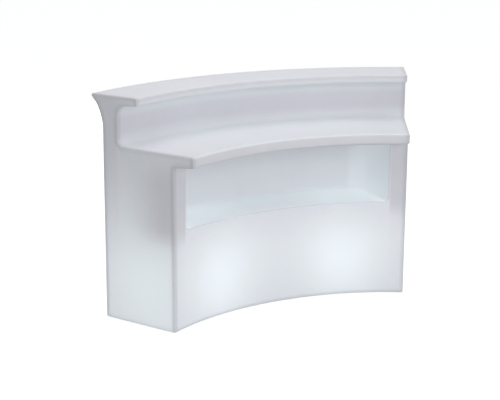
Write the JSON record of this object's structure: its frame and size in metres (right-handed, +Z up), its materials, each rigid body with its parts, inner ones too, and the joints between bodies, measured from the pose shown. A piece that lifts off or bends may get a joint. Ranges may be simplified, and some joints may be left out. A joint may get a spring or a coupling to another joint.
{
  "type": "light-up bar counter",
  "caption": "Curved hollow bar counter, lit from inside, with a raised flared bar top, a lower work surface and a moulded shelf recess, standing on levelling feet.",
  "frame": {"origin": "on the floor under the middle of the counter's box", "axes": "+X along the counter, to the right as the bartender faces the customers; +Y towards the customers; +Z up"},
  "size_m": [1.7266, 0.7348, 1.1],
  "materials": {
    "milky_polyethylene": "translucent white, satin, moulded",
    "zinc_plated_steel": "zinc plated",
    "brass": "turned",
    "black_rubber": "matt",
    "black_plastic": "moulded",
    "grey_plastic": "moulded",
    "white_plastic": "moulded",
    "opal_plastic": "opal, lit"
  },
  "bodies": {
    "counter": {"body_shell": "milky_polyethylene", "foot_insert_1": "brass", "foot_insert_2": "brass", "foot_insert_3": "brass", "foot_insert_4": "brass", "foot_insert_5": "brass", "foot_insert_6": "brass", "port_plate_left": "zinc_plated_steel", "port_gasket_left": "black_rubber", "port_screw_left_1": "zinc_plated_steel", "port_screw_left_2": "zinc_plated_steel", "port_screw_left_3": "zinc_plated_steel", "port_screw_left_4": "zinc_plated_steel", "port_screw_left_5": "zinc_plated_steel", "port_screw_left_6": "zinc_plated_steel", "lamp_holder_left": "black_plastic", "holder_nipple_left": "zinc_plated_steel", "nipple_nut_left": "zinc_plated_steel", "lamp_cap_left": "zinc_plated_steel", "lamp_neck_left": "white_plastic", "lamp_globe_left": "opal_plastic", "port_plate_right": "zinc_plated_steel", "port_gasket_right": "black_rubber", "port_screw_right_1": "zinc_plated_steel", "port_screw_right_2": "zinc_plated_steel", "port_screw_right_3": "zinc_plated_steel", "port_screw_right_4": "zinc_plated_steel", "port_screw_right_5": "zinc_plated_steel", "port_screw_right_6": "zinc_plated_steel", "lamp_holder_right": "black_plastic", "holder_nipple_right": "zinc_plated_steel", "nipple_nut_right": "zinc_plated_steel", "lamp_cap_right": "zinc_plated_steel", "lamp_neck_right": "white_plastic", "lamp_globe_right": "opal_plastic", "gland_body": "grey_plastic", "gland_locknut": "grey_plastic", "gland_dome": "grey_plastic", "gland_seal": "black_rubber", "terminal_block": "white_plastic", "lamp_lead": "white_plastic", "link_lead": "white_plastic"},
    "foot_pad_1": {"foot_pad_1": "black_rubber"},
    "foot_stud_1": {"foot_stud_1": "zinc_plated_steel"},
    "foot_pad_2": {"foot_pad_2": "black_rubber"},
    "foot_stud_2": {"foot_stud_2": "zinc_plated_steel"},
    "foot_pad_3": {"foot_pad_3": "black_rubber"},
    "foot_stud_3": {"foot_stud_3": "zinc_plated_steel"},
    "foot_pad_4": {"foot_pad_4": "black_rubber"},
    "foot_stud_4": {"foot_stud_4": "zinc_plated_steel"},
    "foot_pad_5": {"foot_pad_5": "black_rubber"},
    "foot_stud_5": {"foot_stud_5": "zinc_plated_steel"},
    "foot_pad_6": {"foot_pad_6": "black_rubber"},
    "foot_stud_6": {"foot_stud_6": "zinc_plated_steel"}
  },
  "joints": [
    {"name": "foot_1_travel", "type": "slide", "parent": "counter", "child": "foot_pad_1", "axis": [0, 0, -1], "range_m": [0, 0.022]},
    {"name": "foot_1_turn", "type": "hinge", "parent": "foot_pad_1", "child": "foot_stud_1", "pos_m": [-0.56081, -0.16536, 0.012], "axis": [0, 0, -1], "range_deg": [0, 4800]},
    {"name": "foot_2_travel", "type": "slide", "parent": "counter", "child": "foot_pad_2", "axis": [0, 0, -1], "range_m": [0, 0.022]},
    {"name": "foot_2_turn", "type": "hinge", "parent": "foot_pad_2", "child": "foot_stud_2", "pos_m": [0, -0.04103, 0.012], "axis": [0, 0, -1], "range_deg": [0, 4800]},
    {"name": "foot_3_travel", "type": "slide", "parent": "counter", "child": "foot_pad_3", "axis": [0, 0, -1], "range_m": [0, 0.022]},
    {"name": "foot_3_turn", "type": "hinge", "parent": "foot_pad_3", "child": "foot_stud_3", "pos_m": [0.56081, -0.16536, 0.012], "axis": [0, 0, -1], "range_deg": [0, 4800]},
    {"name": "foot_4_travel", "type": "slide", "parent": "counter", "child": "foot_pad_4", "axis": [0, 0, -1], "range_m": [0, 0.022]},
    {"name": "foot_4_turn", "type": "hinge", "parent": "foot_pad_4", "child": "foot_stud_4", "pos_m": [-0.68464, 0.10019, 0.012], "axis": [0, 0, -1], "range_deg": [0, 4800]},
    {"name": "foot_5_travel", "type": "slide", "parent": "counter", "child": "foot_pad_5", "axis": [0, 0, -1], "range_m": [0, 0.022]},
    {"name": "foot_5_turn", "type": "hinge", "parent": "foot_pad_5", "child": "foot_stud_5", "pos_m": [0, 0.25197, 0.012], "axis": [0, 0, -1], "range_deg": [0, 4800]},
    {"name": "foot_6_travel", "type": "slide", "parent": "counter", "child": "foot_pad_6", "axis": [0, 0, -1], "range_m": [0, 0.022]},
    {"name": "foot_6_turn", "type": "hinge", "parent": "foot_pad_6", "child": "foot_stud_6", "pos_m": [0.68464, 0.10019, 0.012], "axis": [0, 0, -1], "range_deg": [0, 4800]}
  ],
  "couplings": [
    {"joint": "foot_1_travel", "follows": "foot_1_turn", "m_per_rad": 0.00023873},
    {"joint": "foot_2_travel", "follows": "foot_2_turn", "m_per_rad": 0.00023873},
    {"joint": "foot_3_travel", "follows": "foot_3_turn", "m_per_rad": 0.00023873},
    {"joint": "foot_4_travel", "follows": "foot_4_turn", "m_per_rad": 0.00023873},
    {"joint": "foot_5_travel", "follows": "foot_5_turn", "m_per_rad": 0.00023873},
    {"joint": "foot_6_travel", "follows": "foot_6_turn", "m_per_rad": 0.00023873}
  ]
}
